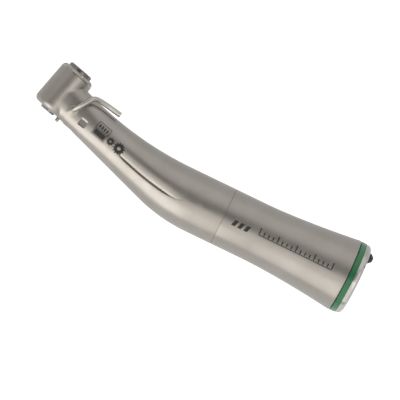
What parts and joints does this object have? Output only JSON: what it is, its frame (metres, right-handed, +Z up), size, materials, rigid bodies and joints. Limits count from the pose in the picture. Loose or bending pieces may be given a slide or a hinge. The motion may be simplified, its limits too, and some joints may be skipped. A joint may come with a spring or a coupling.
{
  "type": "contra angle handpiece",
  "caption": "Dental contra-angle handpiece with push-button bur chuck, reduction gearing, green colour band, finger scallops and an outside irrigation tube.",
  "frame": {"origin": "on the table, under the middle of the tool's bounding box, with the tool lying on its side", "axes": "+X along the handle towards the head, +Y towards the side the bur points to, +Z up from the table"},
  "size_m": [0.0988, 0.0294, 0.02],
  "materials": {
    "satin_titanium": "fine satin blasted titanium",
    "machined_steel": "machined",
    "polished_steel": "polished",
    "bearing_steel": "ground and polished",
    "gear_steel": "hardened, fine ground",
    "green_band": "satin green anodised look",
    "bronze": "machined bronze",
    "black_plastic": "matte black",
    "seal_rubber": "matte",
    "light_glass": "polished glass",
    "spring_steel": "drawn wire"
  },
  "bodies": {
    "casing": {"rear_sleeve": "satin_titanium", "colour_band": "green_band", "rear_end_ring": "polished_steel", "light_plug": "black_plastic", "coupling_bush": "bronze", "latch_ring": "polished_steel", "coupling_seal": "seal_rubber", "gear_chassis": "machined_steel", "input_bearing": "bearing_steel", "first_ring_gear": "gear_steel", "second_ring_gear": "gear_steel", "output_bearing": "bearing_steel", "output_bearing_mount": "machined_steel", "knee_bearing": "bearing_steel", "knee_bearing_mount": "machined_steel", "neck_rear_bearing": "bearing_steel", "neck_rear_mount": "machined_steel", "neck_front_bearing": "bearing_steel", "neck_front_mount": "machined_steel", "head_neck_shell": "satin_titanium", "light_guide": "light_glass", "light_window": "light_glass", "spray_nozzle": "polished_steel", "irrigation_tube": "polished_steel", "head_cap": "polished_steel", "spring_seat": "machined_steel", "upper_bearing_outer": "bearing_steel", "lower_bearing_outer": "bearing_steel", "button_spring": "spring_steel"},
    "input": {"input_shaft": "gear_steel", "first_sun": "gear_steel", "drive_dog": "gear_steel"},
    "first_carrier": {"first_carrier": "gear_steel", "second_sun": "gear_steel"},
    "output": {"second_carrier": "gear_steel", "knee_gear_rear": "gear_steel"},
    "neck_drive": {"neck_shaft": "gear_steel", "head_pinion": "gear_steel", "knee_gear_front": "gear_steel"},
    "spindle": {"chuck_spindle": "gear_steel", "crown_gear": "gear_steel", "collet": "gear_steel", "upper_bearing_inner": "bearing_steel", "lower_bearing_inner": "bearing_steel"},
    "button": {"push_button": "polished_steel"},
    "release": {"release_pin": "gear_steel"},
    "first_planet_1": {"first_planet_1": "gear_steel"},
    "first_planet_2": {"first_planet_2": "gear_steel"},
    "first_planet_3": {"first_planet_3": "gear_steel"},
    "second_planet_1": {"second_planet_1": "gear_steel"},
    "second_planet_2": {"second_planet_2": "gear_steel"},
    "second_planet_3": {"second_planet_3": "gear_steel"}
  },
  "joints": [
    {"name": "output_turn", "type": "hinge", "parent": "casing", "child": "output", "pos_m": [-0.0483, 0.0047, 0.01015], "axis": [0.999, 0, -0.0454], "continuous": true},
    {"name": "input_turn", "type": "hinge", "parent": "casing", "child": "input", "pos_m": [-0.0483, 0.0047, 0.01015], "axis": [0.999, 0, -0.0454], "continuous": true},
    {"name": "first_carrier_turn", "type": "hinge", "parent": "casing", "child": "first_carrier", "pos_m": [-0.0483, 0.0047, 0.01015], "axis": [0.999, 0, -0.0454], "continuous": true},
    {"name": "neck_turn", "type": "hinge", "parent": "casing", "child": "neck_drive", "pos_m": [0.00835, 0.0047, 0.00758], "axis": [0.9641, -0.2582, -0.0617], "continuous": true},
    {"name": "spindle_turn", "type": "hinge", "parent": "casing", "child": "spindle", "pos_m": [0.04387, -0.00482, 0.00531], "axis": [0.2616, 0.9636, 0.0551], "continuous": true},
    {"name": "button_press", "type": "slide", "parent": "casing", "child": "button", "axis": [0.2616, 0.9636, 0.0551], "range_m": [0, 0.0007], "stiffness_N_per_m": 1500, "springref_m": -0.0005, "deforming": ["button_spring"]},
    {"name": "release_push", "type": "slide", "parent": "spindle", "child": "release", "axis": [0.2616, 0.9636, 0.0551], "range_m": [0, 0.0007]},
    {"name": "first_planet_1_turn", "type": "hinge", "parent": "first_carrier", "child": "first_planet_1", "pos_m": [-0.04829, 0.00799, 0.01038], "axis": [0.999, 0, -0.0454], "continuous": true},
    {"name": "first_planet_2_turn", "type": "hinge", "parent": "first_carrier", "child": "first_planet_2", "pos_m": [-0.04817, 0.00285, 0.01289], "axis": [0.999, 0, -0.0454], "continuous": true},
    {"name": "first_planet_3_turn", "type": "hinge", "parent": "first_carrier", "child": "first_planet_3", "pos_m": [-0.04843, 0.00325, 0.00719], "axis": [0.999, 0, -0.0454], "continuous": true},
    {"name": "second_planet_1_turn", "type": "hinge", "parent": "output", "child": "second_planet_1", "pos_m": [-0.04829, 0.00805, 0.01039], "axis": [0.999, 0, -0.0454], "continuous": true},
    {"name": "second_planet_2_turn", "type": "hinge", "parent": "output", "child": "second_planet_2", "pos_m": [-0.04817, 0.00282, 0.01294], "axis": [0.999, 0, -0.0454], "continuous": true},
    {"name": "second_planet_3_turn", "type": "hinge", "parent": "output", "child": "second_planet_3", "pos_m": [-0.04843, 0.00322, 0.00714], "axis": [0.999, 0, -0.0454], "continuous": true}
  ],
  "couplings": [
    {"joint": "input_turn", "follows": "output_turn", "ratio": 20},
    {"joint": "first_carrier_turn", "follows": "output_turn", "ratio": 4},
    {"joint": "neck_turn", "follows": "output_turn", "ratio": 1},
    {"joint": "spindle_turn", "follows": "output_turn", "ratio": -1},
    {"joint": "release_push", "follows": "button_press", "ratio": 1},
    {"joint": "first_planet_1_turn", "follows": "output_turn", "ratio": -10.667},
    {"joint": "first_planet_2_turn", "follows": "output_turn", "ratio": -10.667},
    {"joint": "first_planet_3_turn", "follows": "output_turn", "ratio": -10.667},
    {"joint": "second_planet_1_turn", "follows": "output_turn", "ratio": -3},
    {"joint": "second_planet_2_turn", "follows": "output_turn", "ratio": -3},
    {"joint": "second_planet_3_turn", "follows": "output_turn", "ratio": -3}
  ]
}
